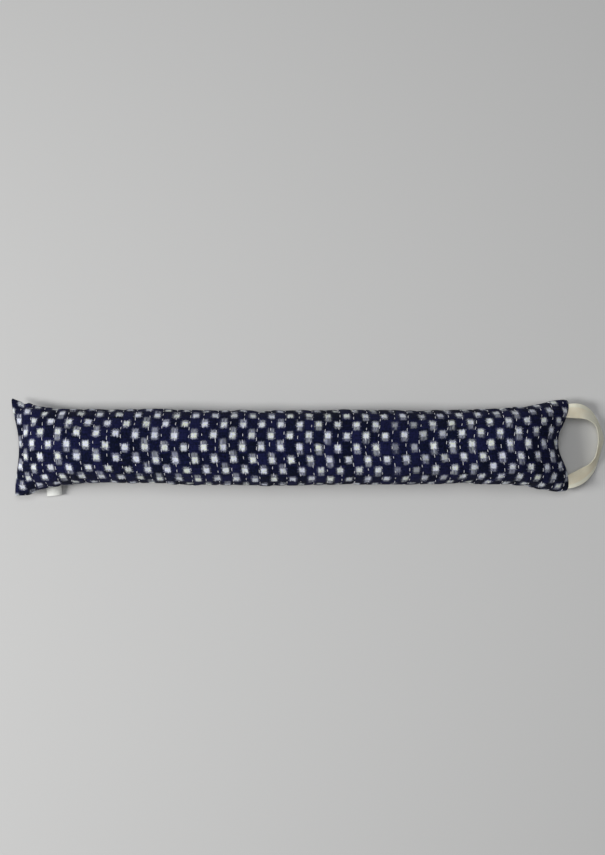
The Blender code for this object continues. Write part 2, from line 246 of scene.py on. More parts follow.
# Stage
Lamp = namedtuple("Lamp", "name size place aim colour")
KEY_LAMP = Lamp("key_light", (0.9, 2.2), (-2.88, -0.23, 2.60), (0.50, -1.63, 0.0), (1.0, 0.995, 0.985))
FILL_LAMP = Lamp("fill_light", (1.0, 2.0), (0.00, 0.40, 3.30), (0.90, -1.70, 0.0), (0.97, 0.98, 1.0))
SKY_COLOUR = (0.985, 0.99, 1.0, 1.0)
SKY_STRENGTH = 0.12
FLOOR_REACH = 40
CAMERA_X = 0.0206
CAMERA_Y = 0.0320
LENS = 67.0
SENSOR = 36.0


class CoverSettings(bpy.types.PropertyGroup):
    """Sizes of the cover, its filling and its quilting"""

    cloth_length: FloatProperty(
        name="Cloth length", description="Over the cloth from end seam to end seam", default=0.912, unit="LENGTH"
    )
    cloth_round: FloatProperty(
        name="Cloth round", description="Width of the cloth before it is sewn into a tube", default=0.356,
        unit="LENGTH",
    )
    pressure: FloatProperty(name="Filling", description="How hard the filling presses the cloth out", default=6.0)
    settle_steps: IntProperty(name="Settling steps", description="Steps given to the cloth to settle", default=26)
    wrinkle: FloatProperty(
        name="Wrinkles", description="Share of the settled cloth's wrinkles that is kept", default=1.0,
        subtype="FACTOR",
    )
    quilt_lines: IntProperty(name="Quilted lines", description="Rings of running stitch", default=42)
    quilt_pitch: FloatProperty(
        name="Line spacing", description="From one ring of stitches to the next", default=0.0216, unit="LENGTH"
    )
    quilt_shift: FloatProperty(
        name="Line offset", description="Distance of the rings from an even placing", default=0.0031, unit="LENGTH"
    )
    quilt_depth: FloatProperty(
        name="Quilting depth", description="How far a ring of stitches pulls the cloth in", default=0.0009,
        unit="LENGTH",
    )
    stitches: IntProperty(name="Stitches round", description="Stitches in one ring", default=27)
    stitch_length: FloatProperty(
        name="Stitch length", description="Length of a stitch, ends included", default=0.0053, unit="LENGTH"
    )
    thread: FloatProperty(name="Thread", description="Thickness of the thread", default=0.0008, unit="LENGTH")
    wander: FloatProperty(
        name="Wander", description="How far a hand-sewn ring strays from straight", default=0.0005, unit="LENGTH"
    )


class PatternSettings(bpy.types.PropertyGroup):
    """Repeat and colours of the ikat cloth"""

    column_pitch: FloatProperty(
        name="Column spacing", description="Along the tube, one column of blocks to the next", default=0.0152,
        unit="LENGTH",
    )
    row_pitch: FloatProperty(
        name="Row spacing", description="Around the tube, one row of blocks to the next", default=0.0192,
        unit="LENGTH",
    )
    block_width: FloatProperty(name="Block width", description="Along the tube", default=0.0089, unit="LENGTH")
    block_height: FloatProperty(name="Block height", description="Around the tube", default=0.0086, unit="LENGTH")
    navy: FloatVectorProperty(
        name="Navy", description="Bluer dyed cells", default=(0.0080, 0.0095, 0.0470), subtype="COLOR"
    )
    ink: FloatVectorProperty(
        name="Ink", description="Darker dyed cells", default=(0.0010, 0.0028, 0.0110), subtype="COLOR"
    )
    cream: FloatVectorProperty(
        name="Cream", description="Undyed blocks, warm ones", default=(0.72, 0.77, 0.63), subtype="COLOR"
    )
    pale: FloatVectorProperty(
        name="Pale", description="Undyed blocks, cool ones", default=(0.69, 0.72, 0.87), subtype="COLOR"
    )
    thread: FloatVectorProperty(
        name="Thread", description="Running stitches", default=(0.88, 0.88, 0.92), subtype="COLOR"
    )


class LoopSettings(bpy.types.PropertyGroup):
    """Webbing loop and blank tab"""

    web_width: FloatProperty(name="Webbing width", description="Across the strap", default=0.025, unit="LENGTH")
    web_thickness: FloatProperty(
        name="Webbing thickness", description="Of the strap", default=0.0016, unit="LENGTH"
    )
    web_colour: FloatVectorProperty(
        name="Webbing colour", description="Undyed cotton", default=(0.97, 0.95, 0.78), subtype="COLOR"
    )
    tab_width: FloatProperty(name="Tab width", description="Along the long seam", default=0.0243, unit="LENGTH")
    tab_x: FloatProperty(name="Tab place", description="Middle of the tab along X", default=-0.3833, unit="LENGTH")
    tab_colour: FloatVectorProperty(
        name="Tab colour", description="White tape", default=(0.88, 0.89, 0.85), subtype="COLOR"
    )


class StageSettings(bpy.types.PropertyGroup):
    """Floor, lights and camera"""

    camera_height: FloatProperty(
        name="Camera height", description="Above the floor, looking straight down", default=2.6, unit="LENGTH"
    )
    floor_colour: FloatVectorProperty(
        name="Floor", description="Plain pale floor", default=(0.56, 0.56, 0.555), subtype="COLOR"
    )
    key_power: FloatProperty(
        name="Key light", description="Large soft light at the left, about 40 degrees up", default=129.0, unit="POWER"
    )
    fill_power: FloatProperty(
        name="Fill light", description="Large soft light high above", default=43.0, unit="POWER"
    )


def ease(value):
    """Runs from 0 to 1 with level ends."""
    value = np.clip(value, 0.0, 1.0)
    return value * value * (3.0 - 2.0 * value)


def swell(distance, reach):
    """How far stuffed cloth has filled out at a distance from its flat seam: steep at first, then level."""
    share = np.clip(distance / reach, 0.0, 1.0)
    return (1.0 - (1.0 - share) ** 2.2) ** 0.7


def smooth_curve(at, places, values):
    """A smooth curve through values at places, read at the given points (cubic, with averaged slopes)."""
    places = np.asarray(places, float)
    values = np.asarray(values, float)
    slopes = np.gradient(values, places)
    index = np.clip(np.searchsorted(places, at) - 1, 0, len(places) - 2)
    span = places[index + 1] - places[index]
    share = (at - places[index]) / span
    rise = share * share * (3.0 - 2.0 * share)
    leaving = share * (1.0 - share) ** 2 * span * slopes[index]
    arriving = share * share * (share - 1.0) * span * slopes[index + 1]
    return values[index] * (1.0 - rise) + values[index + 1] * rise + leaving + arriving


def distances(points):
    """How far along a line of points each one lies."""
    return np.concatenate([[0.0], np.cumsum(np.linalg.norm(np.diff(points, axis=0), axis=1))])


def unit(vectors):
    """Rows of vectors, each made one long."""
    return vectors / np.linalg.norm(vectors, axis=1, keepdims=True)


def even_out(points, shares):
    """Points on a line of points at the given shares of its length."""
    travelled = distances(points)
    travelled /= travelled[-1]
    return np.stack([np.interp(shares, travelled, points[:, axis]) for axis in range(3)], axis=1)


def station_value(x, column):
    """One column of the outline table at x."""
    places = [station.x for station in STATIONS]
    values = [getattr(station, column) for station in STATIONS]
    return smooth_curve(x, places, values)


def end_shift(end, across):
    """How far the end seam lies from the plane of the ears, at a share across from front (-1) to back (1)."""
    ear = (end.back_ear + end.front_ear) / 2.0 + (end.back_ear - end.front_ear) / 2.0 * across
    near = np.clip(np.abs(across - end.centre * (1.0 - across**2)) / end.spread, 0.0, 1.0)
    drawn_in = (0.5 * (1.0 + np.cos(math.pi * near))) ** end.power
    rounding = np.where(across > 0.0, end.back_round, end.front_round)
    into_corner = np.clip((np.abs(across) * EAR_WIDTH - (EAR_WIDTH - rounding)) / rounding, 0.0, 1.0)
    rounded_off = rounding * (1.0 - np.sqrt(1.0 - into_corner**2))
    return ear - end.side * (HALF_LENGTH + end.hollow * drawn_in + rounded_off)


def section(x):
    """The upper and the lower line of the cloth at a station, each from the back edge to the front edge."""
    distance = HALF_LENGTH - abs(x)
    back = station_value(x, "back")
    front = station_value(x, "front")
    middle = (back - front) / 2.0
    half_width = (back + front) / 2.0
    crown = SEAM_HEIGHT + (station_value(x, "crown") - SEAM_HEIGHT) * swell(distance, CROWN_REACH)
    base = SEAM_HEIGHT - (SEAM_HEIGHT + BASE_SINK) * swell(distance, BASE_REACH)
    side = EAR_HEIGHT + (SIDE_HEIGHT - EAR_HEIGHT) * ease(distance / SIDE_REACH)
    flatness = 2.0 - swell(distance, CROWN_REACH)
    fullness = 2.0 + (BASE_FULLNESS - 2.0) * ease(distance / BASE_REACH)
    angle = np.linspace(0.0, math.pi, DRAFT_POINTS)
    lines = []
    for height, power, edge in ((crown, 2.0, 0.5), (base, fullness, -0.5)):
        across = np.sign(np.cos(angle)) * np.abs(np.cos(angle)) ** (2.0 / power)
        bulge = np.abs(np.sin(angle)) ** (2.0 / power * flatness)
        z = side + (height - side) * bulge + edge * SEAM_THICKNESS * (1.0 - across**8)
        share_along = (x + HALF_LENGTH) / (2.0 * HALF_LENGTH)
        shift = end_shift(LEFT_END, across) * (1.0 - share_along) + end_shift(RIGHT_END, across) * share_along
        lines.append(np.stack([x + shift, middle + half_width * across, np.maximum(z, 0.0)], axis=1))
    return lines


def stuffed_form(along_count, around_count):
    """The stuffed form as a grid of points, [along, around]: from the front edge over the top and back under."""
    around = np.linspace(0.0, 1.0, around_count // 2 + 1)
    rings = []
    for x in HALF_LENGTH * np.sin(np.linspace(-math.pi / 2.0, math.pi / 2.0, DRAFT_STATIONS)):
        upper, lower = section(x)
        over = even_out(upper[::-1], around)
        under = even_out(lower, around)
        rings.append(np.concatenate([over, under[1:-1]]))
    rings = np.array(rings)
    shares = np.linspace(0.0, 1.0, along_count)
    return np.stack([even_out(rings[:, j], shares) for j in range(rings.shape[1])], axis=1)


def outward(grid):
    """Unit normals of a grid of rings."""
    along = np.gradient(grid, axis=0)
    around = np.roll(grid, -1, axis=1) - np.roll(grid, 1, axis=1)
    normal = np.cross(along, around)
    return normal / np.maximum(np.linalg.norm(normal, axis=2, keepdims=True), 1e-9)


def fold_relief(along, around, cloth_length, cloth_round):
    """Depth of the main folds over the cloth."""
    step = (along - 0.5) * cloth_length
    up = np.where(around > 0.75, around - 1.0, around) * cloth_round
    height = np.zeros(np.broadcast(along, around).shape)
    for fold in FOLDS:
        angle = math.radians(fold.turn)
        lengthwise = (step - fold.along) * math.cos(angle) + (up - fold.up) * math.sin(angle)
        crosswise = (up - fold.up) * math.cos(angle) - (step - fold.along) * math.sin(angle)
        height = height - fold.depth * np.exp(-((lengthwise / fold.length) ** 2) - (crosswise / fold.width) ** 2)
    return height


def in_scene(name, data):
    """A new object in the scene that shows a mesh, a light or a camera."""
    made = bpy.data.objects.new(name, data)
    bpy.context.scene.collection.objects.link(made)
    return made


def mesh_object(name, points, faces, uvs):
    """A smooth piece in the scene from points and faces, with the cloth's UV map."""
    mesh = bpy.data.meshes.new(name)
    mesh.from_pydata(points, [], faces)
    layer = mesh.uv_layers.new(name="Cloth")
    layer.data.foreach_set("uv", np.array(uvs, np.float32).ravel())
    mesh.shade_smooth()
    mesh.update()
    return in_scene(name, mesh)


def grid_object(name, grid):
    """A closed tube mesh from a grid of rings, its end seams closed with a low bulge, with the cloth's UV map."""
    rings, count = grid.shape[:2]
    half = count // 2
    points = grid.reshape(-1, 3)
    i, j = np.meshgrid(np.arange(rings - 1), np.arange(count), indexing="ij")
    k = (j + 1) % count
    faces = np.stack([i * count + j, (i + 1) * count + j, (i + 1) * count + k, i * count + k], axis=-1)
    u = np.stack([i, i + 1, i + 1, i], axis=-1) / (rings - 1)
    v = np.stack([j, j, j + 1, j + 1], axis=-1) / count
    faces = faces.reshape(-1, 4).tolist()
    uvs = np.stack([u, v], axis=-1).reshape(-1, 2).tolist()
    points = points.tolist()
    for ring, side in ((0, -1), (rings - 1, 1)):
        start, beyond = ring * count, (ring + 1) * count
        middles = []
        for step in range(1, half):
            upper, lower = grid[ring, step], grid[ring, count - step]
            middle = (upper + lower) / 2.0
            middle[0] += side * END_BULGE * np.linalg.norm(upper - lower)
            middles.append(len(points))
            points.append(middle.tolist())
        middles = [start, *middles, start + half]
        for step in range(half):
            above = [start + step, start + step + 1, middles[step + 1], middles[step]]
            opposite = start if step == 0 else beyond - step
            below = [middles[step], middles[step + 1], beyond - step - 1, opposite]
            share = [step / count, (step + 1) / count]
            for corners in (above, below):
                face = []
                for corner, which in zip(corners, (0, 1, 1, 0)):
                    if corner not in [c for c, _ in face]:
                        face.append((corner, which))
                if side > 0:
                    face = face[::-1]
                faces.append([corner for corner, _ in face])
                uvs.extend([[ring / (rings - 1), share[which]] for _, which in face])
    return mesh_object(name, points, faces, uvs)


def blurred(field, radius):
    """A field over the cloth, [along, around], smoothed evenly: mirrored at the ends and wrapped around."""
    reach = int(radius * 2.5)
    offsets = np.arange(-reach, reach + 1)
    weights = np.exp(-((offsets / radius) ** 2))
    weights /= weights.sum()
    wrapped = sum(weight * np.roll(field, offset, axis=1) for offset, weight in zip(offsets, weights))
    padded = np.concatenate([wrapped[reach:0:-1], wrapped, wrapped[-2:-reach - 2:-1]])
    rows = len(field)
    return sum(weight * padded[reach + offset: reach + offset + rows] for offset, weight in zip(offsets, weights))


def settle(grid, settings):
    """The cover blown up by its filling with Blender's cloth: gives the wrinkles that its own cut brings about.

    The cloth's springs have the lengths of the cut tube of cloth, while it starts from the stuffed form. What is kept
    of the result is its wrinkles, so the form and its outline stay.
    """
    along, around = grid.shape[:2]
    piece = grid_object("settling_cover", grid)
    mesh = piece.data
    extra = len(mesh.vertices) - along * around
    piece.shape_key_add(name="Stuffed")
    cut = piece.shape_key_add(name="Cut")
    turn = 2.0 * math.pi * np.arange(around) / around
    radius = settings.cloth_round / (2.0 * math.pi)
    tube = np.zeros((along, around, 3))
    tube[:, :, 0] = np.linspace(-0.5, 0.5, along)[:, None] * settings.cloth_length
    tube[:, :, 1] = -np.cos(turn)[None, :] * radius
    tube[:, :, 2] = SIDE_HEIGHT + np.sin(turn)[None, :] * radius
    places = np.concatenate([tube.reshape(-1, 3), np.array([v.co[:] for v in mesh.vertices])[along * around:]])
    cut.data.foreach_set("co", places.ravel())
    cut.value = 0.0
    held = piece.vertex_groups.new(name="Held")
    resting = np.flatnonzero(grid.reshape(-1, 3)[:, 2] < HELD_BELOW).tolist()
    ends = list(range(around)) + list(range((along - 1) * around, along * around + extra))
    held.add(sorted(set(resting + ends)), 1.0, "REPLACE")
    cloth = piece.modifiers.new("Cloth", "CLOTH")
    for key, value in CLOTH.items():
        setattr(cloth.settings, key, value)
    cloth.settings.use_pressure = True
    cloth.settings.uniform_pressure_force = settings.pressure
    cloth.settings.effector_weights.gravity = 0.0
    cloth.settings.vertex_group_mass = "Held"
    cloth.settings.rest_shape_key = cut
    cloth.collision_settings.use_collision = False
    cloth.collision_settings.use_self_collision = False
    cloth.point_cache.frame_start = 1
    cloth.point_cache.frame_end = settings.settle_steps
    for step in range(1, settings.settle_steps + 1):
        bpy.context.scene.frame_set(step)
    settled = bpy.data.meshes.new_from_object(piece.evaluated_get(bpy.context.evaluated_depsgraph_get()))
    places = np.zeros(len(settled.vertices) * 3)
    settled.vertices.foreach_get("co", places)
    bpy.data.meshes.remove(settled)
    bpy.data.objects.remove(piece)
    bpy.context.scene.frame_set(1)
    moved = places.reshape(-1, 3)[: along * around].reshape(along, around, 3) - grid
    if not np.isfinite(moved).all():
        raise RuntimeError("the cover did not settle")
    return moved


def finer_grid(grid, times):
    """A grid with more points, read from a smooth surface through its points."""
    wrapped = np.concatenate([grid[:, -3:], grid, grid[:, :4]], axis=1)
    at = 3 + np.arange(grid.shape[1] * times) / times
    return np.stack([finer_rows(cubic_read(wrapped[:, :, axis], at), times) for axis in range(3)], axis=2)


def finer_rows(field, times):
    """A field with more rows, both ends included."""
    padded = np.concatenate([2.0 * field[:1] - field[1:2], field, 2.0 * field[-1:] - field[-2:-1]])
    at = 1.0 + np.arange((len(field) - 1) * times + 1) / times
    return cubic_read(padded.T, at).T


def cubic_read(field, at):
    """Values between the columns of a field, on a smooth curve through four of them."""
    low = np.minimum(np.floor(at).astype(int), field.shape[1] - 3)
    share = at - low
    before, start, end, after = (field[:, low + step] for step in (-1, 0, 1, 2))
    slope_in = (end - before) / 2.0
    slope_out = (after - start) / 2.0
    rise = share * share * (3.0 - 2.0 * share)
    return (
        start * (1.0 - rise)
        + end * rise
        + slope_in * share * (1.0 - share) ** 2
        + slope_out * share * share * (share - 1.0)
    )


def line_wander(line, around, settings):
    """How far a hand-sewn ring strays along the tube, at places around it."""
    turn = 2.0 * math.pi * around
    return settings.wander * (np.sin(turn + line * SLOW_STRAY) + 0.5 * np.sin(3.0 * turn + line * QUICK_STRAY))


def fine_relief(along, around, settings):
    """Quilting, crinkles, gathers and the long seam, as heights over the cloth."""
    place = (along - 0.5) * settings.cloth_length
    first = settings.quilt_shift - settings.quilt_pitch * (settings.quilt_lines - 1) / 2.0
    height = np.zeros(np.broadcast(along, around).shape)
    for line in range(settings.quilt_lines):
        stray = place - first - line * settings.quilt_pitch - line_wander(line, around, settings)
        phase = 2.0 * math.pi * (around * settings.stitches + stitch_phase(line))
        pull = PULL_MEAN - PULL_SWING * np.cos(phase)
        near = sum(pulled.share * np.exp(-((stray / pulled.reach) ** 2)) for pulled in PULLS)
        height = height - settings.quilt_depth * pull * near
    rng = np.random.default_rng(UNEVEN_SEED)
    for bumps in UNEVENNESS:
        height = height + bumps.height * cloth_noise(along, around, bumps.cell, settings, rng)
    from_seam = settings.cloth_length * np.minimum(along, 1.0 - along)
    turn = 2.0 * math.pi * around
    gathers = sum(g.share * np.cos(g.count * turn + g.start + g.right * (along > 0.5)) for g in GATHERS)
    height = height + GATHER_DEPTH * gathers * np.exp(-from_seam / GATHER_REACH)
    distance = (around - LONG_SEAM) * settings.cloth_round
    height = height - LONG_SEAM_DEPTH * np.exp(-((distance / LONG_SEAM_REACH) ** 2))
    from_edge = settings.cloth_round * np.minimum(np.minimum(around, 1.0 - around), np.abs(around - 0.5))
    thin = np.exp(-((from_edge / THIN_ROUND) ** 4)) * np.exp(-((from_seam / THIN_ALONG) ** 2))
    return height * ease(from_seam / RELIEF_FADE) * (1.0 - THIN_SHARE * thin)


def stitch_phase(line):
    """Where the stitches of a ring begin, as a share of a stitch."""
    return (line * STITCH_SHIFT) % 1.0


def cloth_noise(along, around, cell, settings, rng):
    """Smooth unevenness over the cloth with bumps of about one cell's size."""
    columns = int(settings.cloth_length / cell) + 4
    rows = int(round(settings.cloth_round / cell))
    values = rng.normal(0.0, 0.8, (columns, rows))
    wrapped = np.concatenate([values[:, -1:], values, values[:, :3]], axis=1)
    fine = cubic_read(wrapped, 1.0 + around.ravel() * rows)
    return cubic_read(fine.T, 1.0 + along.ravel() * (columns - 4)).T


class Number:
    """A number that a node tree works out. Sums of it are written as sums, and each step makes one node."""

    def __init__(self, tree, socket):
        self.tree = tree
        self.socket = socket

    def worked(self, operation, *others, clamp=False):
        """The result of a Math node that takes this number first."""
        inputs = dict(enumerate((self, *others)))
        node = tree_node(self.tree, "ShaderNodeMath", inputs, operation=operation, use_clamp=clamp)
        return Number(self.tree, node.outputs[0])

    def __add__(self, other):
        return self.worked("ADD", other)

    def __sub__(self, other):
        return self.worked("SUBTRACT", other)

    def __rsub__(self, other):
        return Number(self.tree, other).worked("SUBTRACT", self)

    def __mul__(self, other):
        return self.worked("MULTIPLY", other)

    def __truediv__(self, other):
        return self.worked("DIVIDE", other)

    def __abs__(self):
        return self.worked("ABSOLUTE")

    def __round__(self):
        return self.worked("ROUND")

    def scaled(self, factor, added, clamp=False):
        """This number times a factor, with something added."""
        return self.worked("MULTIPLY_ADD", factor, added, clamp=clamp)

    def step(self, low, high):
        """Runs smoothly from 0 at low to 1 at high. Low may be the larger of the two."""
        inputs = {"Value": self, "From Min": low, "From Max": high}
        node = tree_node(self.tree, "ShaderNodeMapRange", inputs, interpolation_type="SMOOTHSTEP")
        return Number(self.tree, node.outputs["Result"])


def connect(tree, node, inputs):
    """Sets or links a node's inputs, by name or number."""
    for key, value in inputs.items():
        if isinstance(value, Number):
            value = value.socket
        if isinstance(value, bpy.types.NodeSocket):
            tree.links.new(value, node.inputs[key])
        else:
            node.inputs[key].default_value = value


def tree_node(tree, kind, inputs=None, **settings):
    """A node with its settings and its inputs."""
    node = tree.nodes.new(kind)
    for key, value in settings.items():
        setattr(node, key, value)
    connect(tree, node, inputs or {})
    return node


def split(tree, vector):
    """The three numbers of a vector or a colour."""
    return [Number(tree, socket) for socket in tree_node(tree, "ShaderNodeSeparateXYZ", {0: vector}).outputs]


def joined(tree, x=0.0, y=0.0, z=0.0):
    """A vector made of three numbers."""
    return tree_node(tree, "ShaderNodeCombineXYZ", {0: x, 1: y, 2: z}).outputs[0]


def vector_maths(tree, operation, inputs):
    """One Vector Math node's result."""
    return tree_node(tree, "ShaderNodeVectorMath", inputs, operation=operation).outputs[0]


def blend_colour(tree, factor, first, second):
    """A colour between two."""
    node = tree_node(tree, "ShaderNodeMix", data_type="RGBA")
    numbers = {socket.identifier: number for number, socket in enumerate(node.inputs)}
    connect(tree, node, {numbers["Factor_Float"]: factor})
    for key, colour in (("A_Color", first), ("B_Color", second)):
        linked = isinstance(colour, bpy.types.NodeSocket)
        connect(tree, node, {numbers[key]: colour if linked else (*colour[:3], 1.0)})
    return next(socket for socket in node.outputs if socket.identifier == "Result_Color")


def new_group(name, inputs, outputs, kind="ShaderNodeTree"):
    """An empty node group with named sockets, a reader for what it is given, and its output node."""
    group = bpy.data.node_groups.new(name, kind)
    for label, socket, default in inputs:
        item = group.interface.new_socket(label, in_out="INPUT", socket_type=socket)
        if default is not None:
            item.default_value = default
    for label, socket in outputs:
        group.interface.new_socket(label, in_out="OUTPUT", socket_type=socket)
    inner = group.nodes.new("NodeGroupInput").outputs

    def given(label):
        """One of the group's inputs, by name."""
        return Number(group, inner[label])

    return group, given, group.nodes.new("NodeGroupOutput")


def cell_noise(x, y, salt):
    """Random number and colour for a whole-numbered cell."""
    vector = joined(x.tree, x, y, salt)
    return tree_node(x.tree, "ShaderNodeTexWhiteNoise", {"Vector": vector}, noise_dimensions="3D").outputs


def stretched_noise(x, y, scale_x, scale_y, detail=1.0, salt=0.0):
    """Noise drawn out along one direction of the cloth."""
    vector = joined(x.tree, x * scale_x, y * scale_y, salt)
    node = tree_node(x.tree, "ShaderNodeTexNoise", {"Vector": vector, "Scale": 1.0, "Detail": detail})
    return Number(x.tree, node.outputs["Fac"])


def weave_group():
    """Plain weave: threads over and under each other, from a place on the cloth in millimetres."""
    group, given, result = new_group(
        "plain_weave",
        [("Place", "NodeSocketVector", None), ("Thread Spacing", "NodeSocketFloat", 0.6),
         ("Slub", "NodeSocketFloat", 0.4)],
        [("Height", "NodeSocketFloat"), ("Thread Tone", "NodeSocketFloat")],
    )
    x, y = split(group, given("Place"))[:2]
    waves = [(axis * math.pi / given("Thread Spacing")).worked("SINE") for axis in (x, y)]
    ridges = abs(waves[0]) * abs(waves[1])
    threads = stretched_noise(x, y, 1.4, 0.05) + stretched_noise(x, y, 0.05, 1.4, salt=4.0)
    height = (waves[0] * waves[1]).scaled(0.35, ridges) + threads * given("Slub")
    connect(group, result, {"Height": height, "Thread Tone": threads * 0.5})
    return group


def wave_sum(u, waves):
    """Slow waves along the cloth, added up."""
    total = 0.0
    for wave in waves:
        total = u.scaled(2.0 * math.pi / wave.length, wave.start).worked("SINE").scaled(wave.size, total)
    return total


def column_shift(u, v):
    """How far the columns lie from an even placing."""
    end = u.scaled(1.0 / PATTERN_MIDDLE, -1.0)
    side = v.scaled(1.0 / PATTERN_RADIUS, -PATTERN_CROWN / PATTERN_RADIUS).worked("SINE")
    bowed = side * side * end.scaled(COLUMN_BOW.added, COLUMN_BOW.middle)
    leaning = side * end.scaled(COLUMN_LEAN.added, COLUMN_LEAN.middle)
    stretched = (end * end).scaled(COLUMN_STRETCH.added, COLUMN_STRETCH.middle) * end
    stretched = (end * end).scaled(-1.0, stretched)
    pulled = u.scaled(LEFT_PULL.added, LEFT_PULL.middle).worked("MINIMUM", 0.0)
    return bowed + leaning - pulled + stretched


def ikat_group(pattern, settings):
    """Double ikat: undyed blocks in staggered columns, their ends feathered thread by thread."""
    sizes = [
        ("Column Pitch", pattern.column_pitch * MM), ("Row Pitch", pattern.row_pitch * MM),
        ("Block Width", pattern.block_width * MM), ("Block Height", pattern.block_height * MM),
        ("Feather", 5.4), ("Tail", 8.5), ("First Column", 473.8), ("First Row", 115.1),
    ]
    group, given, result = new_group(
        "ikat_blocks",
        [("Cloth", "NodeSocketVector", None), *((label, "NodeSocketFloat", size) for label, size in sizes)],
        [(label, "NodeSocketFloat") for label in ("White", "Blueness", "Coolness")],
    )
    along, around = split(group, given("Cloth"))[:2]
    u = along * (settings.cloth_length * MM)
    v = (around - LONG_SEAM).worked("FRACT") * PATTERN_ROUND
    fine_warp = stretched_noise(u, v, 1.7, 0.05, detail=0.5, salt=1.0)
    broad_warp = stretched_noise(u, v, 0.42, 0.03, detail=0.5, salt=2.0)
    warp = fine_warp * 0.45 + broad_warp * 0.75 - 0.6
    weft = stretched_noise(u, v, 0.05, 1.1, detail=0.5, salt=5.0) - 0.5
    patch = stretched_noise(u, v, 0.34, 0.24, salt=3.0)

    # The column and the block that a place belongs to, and how far it lies from that block's middle
    column_at = (u - given("First Column") + column_shift(u, v)) / given("Column Pitch")
    column = round(column_at)
    across = (column_at - column) * given("Column Pitch")
    moods = split(group, cell_noise(column, 0.0, 3.0)["Color"])
    slip = (moods[0] - 0.5) * COLUMN_SLIP
    row_at = (v - given("First Row") + (wave_sum(u, ROW_WAVES) + slip)) / given("Row Pitch")
    pair_at = (row_at - column.worked("FLOORED_MODULO", 2.0)) / 2.0
    pair = round(pair_at)
    blocks = split(group, cell_noise(column, pair, 7.0)["Color"])
    beyond = (blocks[0] - 0.5).scaled(BLOCK_SLIP, (pair_at - pair) * 2.0 * given("Row Pitch"))

    # Which way a column's blocks fade: up on the left of the middle, down on the right, either way near the left end
    left_end = u.worked("LESS_THAN", EITHER_WAY_UNTIL)
    either = (moods[1] - 0.5).worked("SIGN")
    by_place = (FADE_TURNS_AT - u).worked("SIGN")
    loose = (beyond * (either * left_end + by_place * (1.0 - left_end))).step(1.0, -1.0)

    # Ends of a block: clean where the dye was tied off, feathered thread by thread on the other side
    beyond_end = abs(beyond) - given("Block Height") * 0.5
    core = warp.scaled(given("Feather") * loose.scaled(1.2, 0.6), beyond_end).step(1.3, -1.3)
    tail_length = given("Tail") * moods[2].scaled(0.9, 0.50) * loose.scaled(-0.65, 1.0)
    tail = (warp.scaled(9.0, beyond_end) / tail_length).step(1.0, 0.6)
    along_warp = core.worked("MAXIMUM", tail * warp.scaled(1.3, 0.29, clamp=True))

    # Sides of a block: straight, with single weft threads running on past them
    beyond_side = abs(across) - given("Block Width") * 0.5
    inside = weft.scaled(4.2, beyond_side).step(1.0, -1.0)
    whisker = weft.step(0.00, 0.14) * beyond_side.step(WHISKER_REACH, 0.0)
    white = along_warp * inside.worked("MAXIMUM", whisker * 0.26)

    # Single undyed weft threads that run on past a row of blocks
    hair = abs(abs(beyond) - HAIR_PLACE).step(0.55, 0.15)
    runs = stretched_noise(u, round(row_at), 0.035, 7.3, detail=0.0, salt=6.0)
    white = white.worked("MAXIMUM", hair * runs.step(0.50, 0.66) * 0.36)

    # Some columns right of the middle took more dye, and no block is evenly white
    dull = 0.0
    for thin in DULL_COLUMNS:
        dull = column.worked("COMPARE", float(thin.column), 0.5).scaled(thin.share, dull)
    dull = dull * warp.scaled(-1.6, 1.0, clamp=True)
    white = white * (1.0 - dull) * blocks[1].scaled(0.18, 0.87)
    speck = stretched_noise(u, v, 1.9, 1.9, salt=8.0) * 0.50 + patch * 0.50
    white = white.worked("MULTIPLY", speck + 0.50, clamp=True)

    # Bluer and darker dyed cells, and cooler and warmer undyed blocks
    cell = Number(group, cell_noise(column, round(row_at), 12.0)["Value"])
    blueness = patch.scaled(2.0, cell.scaled(0.80, weft.scaled(1.4, -0.95)), clamp=True)
    tint = stretched_noise(u, v, 0.30, 0.36, salt=15.0)
    coolness = blocks[2].scaled(0.16, tint).step(0.42, 0.72)
    connect(group, result, {"White": white, "Blueness": blueness, "Coolness": coolness})
    return group


def new_material(name, roughness, sheen, specular=0.25):
    """A material with its node tree and its shader."""
    material = bpy.data.materials.new(name)
    material.use_nodes = True
    tree = material.node_tree
    shader = tree.nodes["Principled BSDF"]
    connect(tree, shader, {"Roughness": roughness, "Specular IOR Level": specular, "Sheen Weight": sheen,
                           "Sheen Roughness": 0.6})
    return material, tree, shader


def darker(colour, share):
    """A colour with each channel brought down to a share of itself."""
    return tuple(channel * share for channel in colour)


def cloth_place(tree, scale_u, scale_v):
    """The place on the cloth from its UV map, and the same in millimetres."""
    uv = tree_node(tree, "ShaderNodeUVMap", uv_map="Cloth").outputs["UV"]
    return uv, vector_maths(tree, "MULTIPLY", {0: uv, 1: (scale_u, scale_v, 1.0)})


def add_bump(tree, shader, height, distance, strength):
    """Gives a shader a bump."""
    bump = tree_node(tree, "ShaderNodeBump", {"Height": height, "Distance": distance, "Strength": strength})
    connect(tree, shader, {"Normal": bump.outputs[0]})


def add_weave(tree, shader, place, spacing, depth, slub=0.4):
    """Gives a shader the bump of woven threads, and returns the threads' tone."""
    weave = bpy.data.node_groups.get("plain_weave") or weave_group()
    inputs = {"Place": place, "Thread Spacing": spacing, "Slub": slub}
    threads = tree_node(tree, "ShaderNodeGroup", inputs, node_tree=weave).outputs
    add_bump(tree, shader, threads["Height"], depth, 0.6)
    return Number(tree, threads["Thread Tone"])


